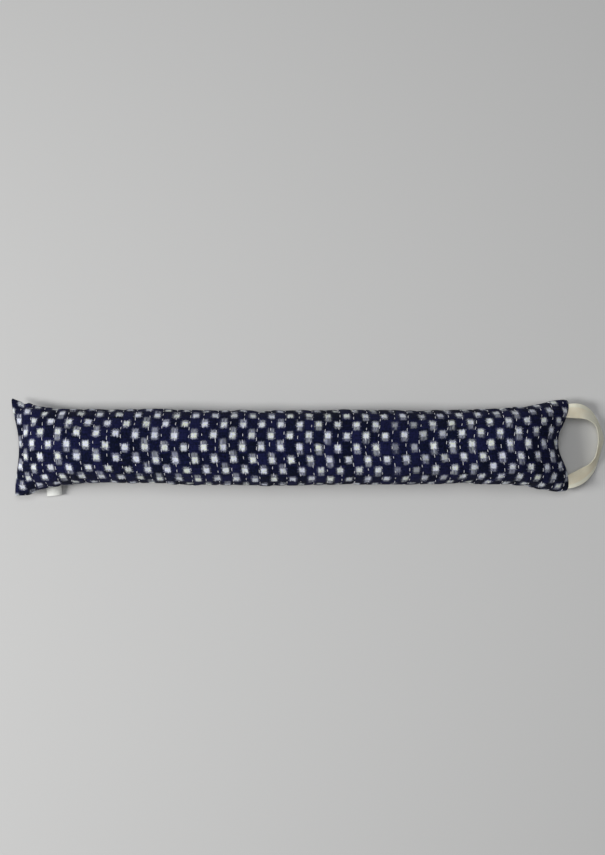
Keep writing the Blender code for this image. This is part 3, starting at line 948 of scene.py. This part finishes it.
def cotton_ikat(pattern, settings):
    """Dark indigo cotton with undyed ikat blocks."""
    material, tree, shader = new_material("cotton_ikat", 0.86, 0.02, specular=0.03)
    uv, place = cloth_place(tree, settings.cloth_length * MM, settings.cloth_round * MM)
    tone = add_weave(tree, shader, place, 0.62, 0.00018)
    blocks = tree_node(tree, "ShaderNodeGroup", {"Cloth": uv}, node_tree=ikat_group(pattern, settings)).outputs
    white = Number(tree, blocks["White"])
    dyed = blend_colour(tree, blocks["Blueness"], pattern.ink, pattern.navy)
    undyed = blend_colour(tree, blocks["Coolness"], pattern.cream, pattern.pale)
    cloth = blend_colour(tree, white, dyed, undyed)
    cloth = blend_colour(tree, (1.0 - white) * white, cloth, FRINGE_COLOUR)
    cloth = blend_colour(tree, tone.step(0.25, 0.75) * 0.016, cloth, WORN_COLOUR)
    connect(tree, shader, {"Base Color": cloth, "Roughness": tone.scaled(0.12, 0.80)})
    return material


def webbing_cotton(loop):
    """Undyed cotton webbing: ribs across, warmer with a stain towards its feet and paler at the apex, which is partly
    painted light, with a line of painted shade along it and painted shade at its edges.
    """
    material, tree, shader = new_material("webbing_cotton", 0.84, 0.12)
    uv, place = cloth_place(tree, WEB_CHART * MM, loop.web_width * MM)
    tone = add_weave(tree, shader, place, 1.1, 0.0005, slub=0.25)
    along, across = split(tree, uv)[:2]
    warm = tuple(channel * share for channel, share in zip(loop.web_colour, WEB_WARMTH))
    # Warmer and mottled towards the feet, paler at the apex: a stain at the feet, and partly painted light, as the
    # pale apex makes up for the shade on the apex strip, which leans away from the key light.
    mottle = stretched_noise(*split(tree, place)[:2], 0.06, 0.09)
    stain_and_painted_apex_light = abs(along - WEB_MIDDLE).step(0.10, 0.24) * mottle.scaled(0.9, 0.35, clamp=True)
    body = blend_colour(tree, stain_and_painted_apex_light, loop.web_colour, warm)
    body = blend_colour(tree, across.step(0.66, 0.78), body, loop.web_colour)
    # Painted shade: a darker, warmer line along the strap, drawn as if shade lay in a furrow there.
    painted_groove_shade = abs(across - 0.70).step(0.035, 0.0)
    body = blend_colour(tree, painted_groove_shade * 0.45, body, warm)
    # Painted shade: the strap's edge faces darkened, as if in shade.
    painted_edge_shade = abs(across - 0.5).step(0.482, 0.496)
    body = blend_colour(tree, painted_edge_shade, body, darker(loop.web_colour, 0.66))
    body = blend_colour(tree, tone.step(0.3, 0.8) * 0.16, body, warm)
    connect(tree, shader, {"Base Color": body})
    return material


def tab_tape(loop):
    """White woven tape, bare."""
    material, tree, shader = new_material("tab_tape", 0.62, 0.08)
    place = cloth_place(tree, loop.tab_width * MM, TAB_CHART * MM)[1]
    tone = add_weave(tree, shader, place, 0.45, 0.00015, slub=0.2)
    body = blend_colour(tree, tone.step(0.35, 0.70), loop.tab_colour, darker(loop.tab_colour, 0.90))
    connect(tree, shader, {"Base Color": body})
    return material


def stitch_cotton(pattern):
    """Thick soft cotton thread."""
    material, tree, shader = new_material("stitch_cotton", 0.80, 0.15)
    place = tree_node(tree, "ShaderNodeTexCoord").outputs["Object"]
    fuzz = tree_node(tree, "ShaderNodeTexNoise", {"Vector": place, "Scale": 900.0, "Detail": 2.0}).outputs["Fac"]
    fuzz = Number(tree, fuzz)
    body = blend_colour(tree, fuzz.step(0.35, 0.7), pattern.thread, darker(pattern.thread, 0.80))
    connect(tree, shader, {"Base Color": body})
    add_bump(tree, shader, fuzz, 0.0002, 0.5)
    return material


def paint(piece, material):
    """Gives a piece its one material."""
    piece.data.materials.clear()
    piece.data.materials.append(material)


class EXCLUDER_OT_cover(bpy.types.Operator):
    """Makes the stuffed tube of ikat cotton"""

    bl_idname = "excluder.cover"
    bl_label = "Make Stuffed Cover"

    def execute(self, context):
        settings = context.scene.excluder_cover
        along_count = int(round(settings.cloth_length / CLOTH_STEP)) + 1
        around_count = 2 * int(round(settings.cloth_round / CLOTH_STEP / 2.0))
        along = np.linspace(0.0, 1.0, along_count)[:, None]
        around = (np.arange(around_count) / around_count)[None, :]
        grid = stuffed_form(along_count, around_count)
        from_seam = settings.cloth_length * np.minimum(along, 1.0 - along)
        folds = fold_relief(along, around, settings.cloth_length, settings.cloth_round)
        folds = folds * ease(from_seam / FOLD_FADE)
        resting = grid[:, :, 2] < RESTING_BELOW
        grid = grid + outward(grid) * np.where(resting, 0.0, folds)[:, :, None]
        grid[:, :, 2] = np.maximum(grid[:, :, 2], 0.0)
        moved = settle(grid, settings)
        drift = np.stack([blurred(moved[:, :, axis], DRIFT_RADIUS) for axis in range(3)], axis=2)
        wrinkles = (moved - drift) * settings.wrinkle
        size = np.linalg.norm(wrinkles, axis=2, keepdims=True)
        wrinkles = wrinkles * np.minimum(1.0, WRINKLE_LIMIT / np.maximum(size, 1e-9))
        print("wrinkles, mm: mean %.2f, most %.2f" % (size.mean() * MM, size.max() * MM))
        fade = ease(from_seam / WRINKLE_FADE)[:, :, None]
        grid = grid + wrinkles * fade * np.where(resting, 0.0, 1.0)[:, :, None]
        grid = finer_grid(grid, FINER)
        along = np.linspace(0.0, 1.0, grid.shape[0])[:, None]
        around = (np.arange(grid.shape[1]) / grid.shape[1])[None, :]
        height = fine_relief(along, around, settings)
        grid = grid + outward(grid) * (height * ease(grid[:, :, 2] / FLOOR_FADE))[:, :, None]
        grid[:, :, 2] = np.maximum(grid[:, :, 2], 0.0)
        cover = grid_object("cover", grid)
        paint(cover, cotton_ikat(context.scene.excluder_pattern, settings))
        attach(cover, "root")
        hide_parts("stuffed_tube")
        return {"FINISHED"}


def stitch_tree(cover, material):
    """Rings of running stitches laid over the cover, placed by its UV map."""
    tree, given, result = new_group(
        "running_stitches",
        [("Lines", "NodeSocketInt", 40), ("Stitches", "NodeSocketInt", 27),
         ("Line Step", "NodeSocketFloat", 0.02), ("First Line", "NodeSocketFloat", 0.01),
         ("Wander", "NodeSocketFloat", 0.001), ("Stitch Length", "NodeSocketFloat", 0.005),
         ("Thread", "NodeSocketFloat", 0.001), ("Seed", "NodeSocketInt", 3)],
        [("Geometry", "NodeSocketGeometry")],
        kind="GeometryNodeTree",
    )

    def chance(low, high, seed):
        """A random number for each stitch."""
        node = tree_node(tree, "FunctionNodeRandomValue", {"Min": low, "Max": high, "Seed": seed}, data_type="FLOAT")
        return Number(tree, next(socket for socket in node.outputs if socket.enabled))

    # A flat grid with a point for each stitch, from which its place on the cloth is worked out
    lines_between = given("Lines") - 1.0
    stitches_between = given("Stitches") - 1.0
    grid = tree_node(tree, "GeometryNodeMeshGrid", {
        "Size X": lines_between, "Size Y": stitches_between,
        "Vertices X": given("Lines"), "Vertices Y": given("Stitches"),
    }).outputs["Mesh"]
    point = split(tree, tree_node(tree, "GeometryNodeInputPosition").outputs[0])
    line = round(point[0] + lines_between * 0.5)
    stitch = point[1] + stitches_between * 0.5
    phase = (line * STITCH_SHIFT).worked("FRACT")
    off_place = chance(-STITCH_PLACE, STITCH_PLACE, given("Seed"))
    around = ((stitch - phase + off_place) / given("Stitches")).worked("FRACT")
    turn = around * (2.0 * math.pi)
    slow_wave = line.scaled(SLOW_STRAY, turn).worked("SINE")
    quick_wave = line.scaled(QUICK_STRAY, turn * 3.0).worked("SINE")
    stray = quick_wave.scaled(0.5, slow_wave) * given("Wander")
    along = line.scaled(given("Line Step"), given("First Line")) + stray
    store = tree_node(tree, "GeometryNodeStoreNamedAttribute",
                      {"Geometry": grid, "Name": "spot", "Value": joined(tree, along, around)},
                      data_type="FLOAT_VECTOR", domain="POINT")

    # The cover's surface, read at that place and a little way around from it
    info = tree_node(tree, "GeometryNodeObjectInfo", {"Object": cover}, transform_space="ORIGINAL")
    chart, spot = (
        tree_node(tree, "GeometryNodeInputNamedAttribute", {"Name": name}, data_type="FLOAT_VECTOR").outputs[0]
        for name in ("Cloth", "spot")
    )
    on_cloth = tree_node(tree, "GeometryNodeInputPosition").outputs[0]
    facing = tree_node(tree, "GeometryNodeInputNormal").outputs[0]

    def read(value, at):
        """A value of the cover's surface at a place in its UV map."""
        inputs = {"Mesh": info.outputs["Geometry"], "UV Map": chart, "Sample UV": at, "Value": value}
        return tree_node(tree, "GeometryNodeSampleUVSurface", inputs, data_type="FLOAT_VECTOR").outputs["Value"]

    here = read(on_cloth, spot)
    normal = read(facing, spot)
    ahead = vector_maths(tree, "ADD", {0: spot, 1: (0.0, STITCH_AHEAD, 0.0)})
    onward = vector_maths(tree, "SUBTRACT", {0: read(on_cloth, ahead), 1: here})
    lift = vector_maths(tree, "SCALE", {0: normal, "Scale": STITCH_LIFT})
    x, y, z = split(tree, vector_maths(tree, "ADD", {0: here, 1: lift}))
    lifted = joined(tree, x, y, z.worked("MAXIMUM", STITCH_LOWEST))
    points = tree_node(tree, "GeometryNodeSetPosition", {"Geometry": store.outputs[0], "Position": lifted})
    turned = tree_node(tree, "FunctionNodeAxesToRotation", {"Primary Axis": normal, "Secondary Axis": onward},
                       primary_axis="Z", secondary_axis="X")

    # One stitch: a bow of thread with both ends in the cloth
    half = given("Stitch Length") * 0.5
    start, end = (joined(tree, half * side, 0.0, given("Thread") * THREAD_DOWN) for side in (-1.0, 1.0))
    top = joined(tree, z=given("Thread") * THREAD_UP)
    bow = tree_node(tree, "GeometryNodeCurveQuadraticBezier",
                    {"Resolution": 6, "Start": start, "Middle": top, "End": end})
    profile = tree_node(tree, "GeometryNodeCurvePrimitiveCircle", {"Resolution": 6, "Radius": given("Thread") * 0.5})
    thread = tree_node(tree, "GeometryNodeCurveToMesh",
                       {"Curve": bow.outputs[0], "Profile Curve": profile.outputs[0], "Fill Caps": True})

    # Each stitch as long and as slanted as chance has it
    size = joined(tree, chance(SHORTEST, LONGEST, given("Seed") + 1.0), 1.0, 1.0)
    slant = chance(-STITCH_SLANT, STITCH_SLANT, given("Seed") + 2.0)
    slant = tree_node(tree, "FunctionNodeAxisAngleToRotation", {"Axis": (0.0, 0.0, 1.0), "Angle": slant}).outputs[0]
    turned = tree_node(tree, "FunctionNodeRotateRotation", {0: turned.outputs[0], 1: slant}, rotation_space="LOCAL")
    placed = tree_node(tree, "GeometryNodeInstanceOnPoints",
                       {"Points": points.outputs[0], "Instance": thread.outputs[0], "Rotation": turned.outputs[0],
                        "Scale": size})
    real = tree_node(tree, "GeometryNodeRealizeInstances", {0: placed.outputs[0]})
    smooth = tree_node(tree, "GeometryNodeSetShadeSmooth", {0: real.outputs[0]})
    named = tree_node(tree, "GeometryNodeSetMaterial", {"Geometry": smooth.outputs[0], "Material": material})
    connect(tree, result, {"Geometry": named.outputs[0]})
    return tree


class EXCLUDER_OT_stitches(bpy.types.Operator):
    """Sews the rings of running stitch over the cover"""

    bl_idname = "excluder.stitches"
    bl_label = "Sew Running Stitches"

    def execute(self, context):
        settings = context.scene.excluder_cover
        cover = bpy.data.objects["cover"]
        material = stitch_cotton(context.scene.excluder_pattern)
        tree = stitch_tree(cover, material)
        carrier = in_scene("stitch_carrier", bpy.data.meshes.new("stitch_carrier"))
        modifier = carrier.modifiers.new("Stitches", "NODES")
        modifier.node_group = tree
        step = settings.quilt_pitch / settings.cloth_length
        first = 0.5 + settings.quilt_shift / settings.cloth_length - step * (settings.quilt_lines - 1) / 2.0
        values = {
            "Lines": settings.quilt_lines, "Stitches": settings.stitches, "Line Step": step, "First Line": first,
            "Wander": settings.wander / settings.cloth_length, "Stitch Length": settings.stitch_length,
            "Thread": settings.thread, "Seed": STITCH_SEED,
        }
        for item in tree.interface.items_tree:
            if item.in_out == "INPUT":
                modifier[item.identifier] = values[item.name]
        context.view_layer.update()
        made = bpy.data.meshes.new_from_object(carrier.evaluated_get(context.evaluated_depsgraph_get()))
        if not made.polygons:
            raise RuntimeError("no stitches were made")
        bpy.data.objects.remove(carrier)
        made.name = "running_stitches"
        stitches = in_scene("running_stitches", made)
        if not made.materials:
            made.materials.append(material)
        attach(stitches, "root")
        return {"FINISHED"}


def strip_object(name, sections, uvs_across, lengthwise):
    """A closed strip from matching sections of points, capped at both ends, with the cloth's UV map."""
    sections = np.asarray(sections)
    rows, count = sections.shape[:2]
    faces, uvs = [], []
    for i in range(rows - 1):
        for j in range(count):
            k = (j + 1) % count
            faces.append([i * count + j, (i + 1) * count + j, (i + 1) * count + k, i * count + k])
            pair = (uvs_across[j], uvs_across[k])
            uvs.extend([(lengthwise[i], pair[0]), (lengthwise[i + 1], pair[0]),
                        (lengthwise[i + 1], pair[1]), (lengthwise[i], pair[1])])
    for i, order in ((0, range(count)), (rows - 1, range(count - 1, -1, -1))):
        faces.append([i * count + j for j in order])
        uvs.extend([(lengthwise[i], uvs_across[j]) for j in order])
    return mesh_object(name, sections.reshape(-1, 3).tolist(), faces, uvs)


class EXCLUDER_OT_loop(bpy.types.Operator):
    """Makes the webbing loop at the right end"""

    bl_idname = "excluder.loop"
    bl_label = "Make Webbing Loop"

    def execute(self, context):
        loop = context.scene.excluder_loop
        steps = np.linspace(0.0, len(WEB_LINE) - 1.0, WEB_STEPS)
        places = np.arange(len(WEB_LINE))
        x, y, z, lean = (smooth_curve(steps, places, [getattr(p, c) for p in WEB_LINE]) for c in WebPoint._fields)
        centre = np.stack([x, y, z], axis=1)
        run = unit(np.gradient(centre, axis=0))
        out = unit(np.stack([-run[:, 1], run[:, 0], np.zeros(WEB_STEPS)], axis=1))
        lean = np.radians(lean)[:, None]
        width = out * np.cos(lean) - np.array([0.0, 0.0, 1.0]) * np.sin(lean)
        up = unit(np.cross(run, width))
        half = loop.web_width / 2.0
        thick = loop.web_thickness / 2.0
        outline = WEB_PROFILE + [(across, -face) for across, face in reversed(WEB_PROFILE)]
        sections = [[middle + side * across * half + rise * face * thick for across, face in outline]
                    for middle, side, rise in zip(centre, width, up)]
        lengths = distances(centre)
        charted = [(across + 1.0) / 2.0 for across, _ in outline]
        strap = strip_object("webbing_loop", sections, charted, lengths / WEB_CHART)
        paint(strap, webbing_cotton(loop))
        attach(strap, "root")
        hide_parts("webbing_handle")
        loop.web_width
        float(lengths[-1])
        print("webbing loop, mm of strap:", round(lengths[-1] * MM, 1))
        return {"FINISHED"}


class EXCLUDER_OT_tab(bpy.types.Operator):
    """Makes the blank tab of folded tape in the long seam"""

    bl_idname = "excluder.tab"
    bl_label = "Make Blank Tab"

    def execute(self, context):
        loop = context.scene.excluder_loop
        top = np.array([(row.out, row.z) for row in TAB_TOP])
        steps = np.linspace(0.0, len(top) - 1.0, TAB_STEPS)
        out = smooth_curve(steps, np.arange(len(top)), top[:, 0])
        z = smooth_curve(steps, np.arange(len(top)), top[:, 1])
        above = np.stack([out, z], axis=1)
        run = unit(np.gradient(above, axis=0))
        below = above - np.stack([-run[:, 1], run[:, 0]], axis=1) * TAB_GAP
        fold_angle = np.linspace(0.0, math.pi, TAB_FOLD_STEPS)[1:-1]
        middle = (above[-1] + below[-1]) / 2.0
        rise = above[-1] - middle
        fold = [middle + rise * math.cos(a) + run[-1] * TAB_FOLD * math.sin(a) for a in fold_angle]
        line = np.concatenate([above, fold, below[::-1]])
        tangent = unit(np.gradient(line, axis=0))
        side = np.stack([-tangent[:, 1], tangent[:, 0]], axis=1)
        lengths = distances(line)
        half = loop.tab_width / 2.0
        outline = [(-1.0, 1.0), (0.0, 1.0), (1.0, 1.0), (1.0, -1.0), (0.0, -1.0), (-1.0, -1.0)]
        sections = []
        for spot, lift in zip(line, side):
            ring = []
            for across, face in outline:
                place = spot + lift * face * TAB_HALF_THICKNESS
                askew = math.tan(math.radians(TAB_TURN)) * across * half
                turned = askew * ease((place[0] - TAB_TURN_FROM) / TAB_TURN_OVER)
                ring.append((loop.tab_x + across * half, -place[0] + turned, max(place[1], TAB_LOWEST)))
            sections.append(ring)
        charted = [(across + 1.0) / 2.0 for across, _ in outline]
        tab = strip_object("blank_tab", sections, charted, lengths / TAB_CHART)
        paint(tab, tab_tape(loop))
        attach(tab, "root")
        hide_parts("side_tab")
        loop.tab_width
        float(lengths[-1])
        print("tab, mm of tape:", round(lengths[-1] * MM, 1))
        return {"FINISHED"}


class EXCLUDER_OT_stage(bpy.types.Operator):
    """Sets the floor, the lights and the camera"""

    bl_idname = "excluder.stage"
    bl_label = "Set Stage"

    def execute(self, context):
        stage = context.scene.excluder_stage
        mesh = bpy.data.meshes.new("floor")
        corners = [(x * FLOOR_REACH, y * FLOOR_REACH, 0) for x, y in ((-1, -1), (1, -1), (1, 1), (-1, 1))]
        mesh.from_pydata(corners, [], [(0, 1, 2, 3)])
        floor = in_scene("floor", mesh)
        material, tree, shader = new_material("floor_paper", 0.9, 0.0)
        connect(tree, shader, {"Base Color": (*stage.floor_colour, 1.0)})
        paint(floor, material)
        floor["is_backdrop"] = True
        world = bpy.data.worlds.new("studio")
        world.use_nodes = True
        sky = world.node_tree.nodes["Background"]
        connect(world.node_tree, sky, {"Color": SKY_COLOUR, "Strength": SKY_STRENGTH})
        context.scene.world = world
        for lamp, power in ((KEY_LAMP, stage.key_power), (FILL_LAMP, stage.fill_power)):
            light = bpy.data.lights.new(lamp.name, "AREA")
            light.energy = power
            light.shape = "RECTANGLE"
            light.size, light.size_y = lamp.size
            light.color = lamp.colour
            hung = in_scene(lamp.name, light)
            hung.location = lamp.place
            hung.rotation_euler = (Vector(lamp.aim) - Vector(lamp.place)).to_track_quat("-Z", "Y").to_euler()
        lens = bpy.data.cameras.new("camera")
        lens.sensor_fit = "VERTICAL"
        lens.sensor_height = SENSOR
        lens.lens = LENS
        lens.clip_start = 0.05
        lens.clip_end = 30.0
        camera = in_scene("camera", lens)
        camera.location = (CAMERA_X, CAMERA_Y, stage.camera_height)
        context.scene.camera = camera
        context.scene.view_settings.view_transform = "Standard"
        return {"FINISHED"}


class EXCLUDER_PT_panel(bpy.types.Panel):
    """Lists the steps and their sizes"""

    bl_idname = "EXCLUDER_PT_panel"
    bl_label = "Draught Excluder"
    bl_space_type = "VIEW_3D"
    bl_region_type = "UI"
    bl_category = "Draught Excluder"

    def draw(self, context):
        """A button for each step, then every size"""
        for operator in OPERATORS:
            self.layout.operator(operator.bl_idname)
        for name in SETTINGS:
            group = getattr(context.scene, name)
            for key in group.bl_rna.properties.keys():
                if key not in ("rna_type", "name"):
                    self.layout.prop(group, key)


SETTINGS = {
    "excluder_cover": CoverSettings,
    "excluder_pattern": PatternSettings,
    "excluder_loop": LoopSettings,
    "excluder_stage": StageSettings,
}
OPERATORS = (
    EXCLUDER_OT_cover,
    EXCLUDER_OT_stitches,
    EXCLUDER_OT_loop,
    EXCLUDER_OT_tab,
    EXCLUDER_OT_stage,
)


def register():
    """Adds the settings, the steps and the panel to Blender."""
    for group in SETTINGS.values():
        bpy.utils.register_class(group)
    for operator in OPERATORS:
        bpy.utils.register_class(operator)
    bpy.utils.register_class(EXCLUDER_PT_panel)
    for name, group in SETTINGS.items():
        setattr(bpy.types.Scene, name, PointerProperty(type=group))


def unregister():
    """Takes them out again."""
    for name in SETTINGS:
        delattr(bpy.types.Scene, name)
    bpy.utils.unregister_class(EXCLUDER_PT_panel)
    for operator in reversed(OPERATORS):
        bpy.utils.unregister_class(operator)
    for group in reversed(list(SETTINGS.values())):
        bpy.utils.unregister_class(group)


def main():
    """Makes every piece and the stage, and works out the boxes around the CAD parts and around the pieces made."""
    register()
    bpy.ops.excluder.cover()
    bpy.ops.excluder.stitches()
    bpy.ops.excluder.loop()
    bpy.ops.excluder.tab()
    bpy.ops.excluder.stage()
    boxes = {"cad": CAD_BOX, "visual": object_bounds()}
    {name: [list(corner) for corner in box] for name, box in boxes.items()}


if __name__ == "__main__":
    main()
